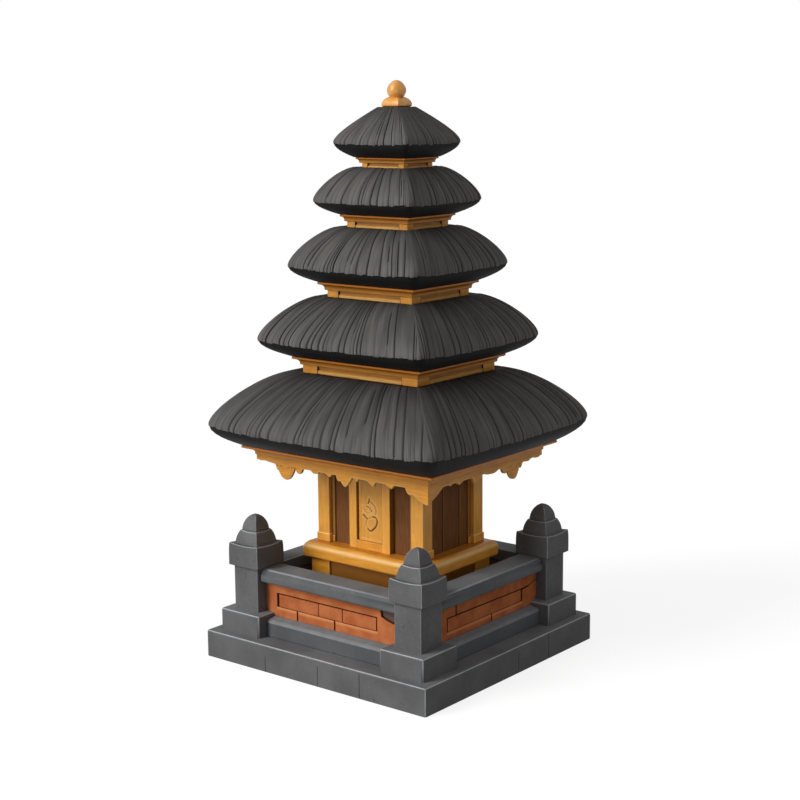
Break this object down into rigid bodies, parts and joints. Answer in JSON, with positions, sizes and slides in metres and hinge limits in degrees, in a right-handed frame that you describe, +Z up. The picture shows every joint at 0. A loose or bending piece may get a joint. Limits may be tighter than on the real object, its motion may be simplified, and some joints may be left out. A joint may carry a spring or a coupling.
{
  "type": "meru tower shrine",
  "caption": "Square timber shrine chamber with a hinged carved door, on a walled stone plinth, under a tapering stack of black thatched roofs with gilded necks and a finial.",
  "frame": {"origin": "centre of the plinth's underside, on the ground", "axes": "+Z up, along the tower; the door faces -Y and +X is to the right of someone facing the door"},
  "size_m": [3.5432, 3.43, 7.0003],
  "materials": {
    "andesite_stone": "smooth dressed andesite, edges worn pale",
    "terracotta_brick": "matt fired clay blocks with fine joints",
    "gilded_timber": "carved timber, satin ochre-gold paint",
    "ochre_eave_board": "moulded timber, satin orange-gold paint",
    "dark_planks": "oiled dark brown planks",
    "palm_thatch": "black palm-fibre thatch, combed in clumps",
    "gilded_finial": "satin gilding"
  },
  "bodies": {
    "shrine": {"plinth": "andesite_stone", "kerbs": "andesite_stone", "brick_panels": "terracotta_brick", "copings": "andesite_stone", "post_front_left": "andesite_stone", "post_front_right": "andesite_stone", "post_back_right": "andesite_stone", "post_back_left": "andesite_stone", "post_cap_front_left": "andesite_stone", "post_cap_front_right": "andesite_stone", "post_cap_back_right": "andesite_stone", "post_cap_back_left": "andesite_stone", "inner_base": "andesite_stone", "underframe": "gilded_timber", "sill_ledge": "gilded_timber", "corner_columns": "gilded_timber", "wall_front": "dark_planks", "wall_right": "dark_planks", "wall_back": "dark_planks", "wall_left": "dark_planks", "door_jambs": "gilded_timber", "door_head": "gilded_timber", "door_threshold": "gilded_timber", "head_beams": "gilded_timber", "valance_front": "gilded_timber", "valance_right": "gilded_timber", "valance_back": "gilded_timber", "valance_left": "gilded_timber", "eave_board_1": "ochre_eave_board", "eave_board_2": "ochre_eave_board", "eave_board_3": "ochre_eave_board", "eave_board_4": "ochre_eave_board", "eave_board_5": "ochre_eave_board", "roof_1": "palm_thatch", "roof_2": "palm_thatch", "roof_3": "palm_thatch", "roof_4": "palm_thatch", "roof_5": "palm_thatch", "neck_1": "gilded_timber", "neck_2": "gilded_timber", "neck_3": "gilded_timber", "neck_4": "gilded_timber", "neck_blocks": "gilded_timber", "finial": "gilded_finial"},
    "door": {"door_leaf": "gilded_timber"}
  },
  "joints": [
    {"name": "door_hinge", "type": "hinge", "parent": "shrine", "child": "door", "pos_m": [-0.174, -0.549, 1.53], "axis": [0, 0, -1], "range_deg": [0, 90]}
  ]
}
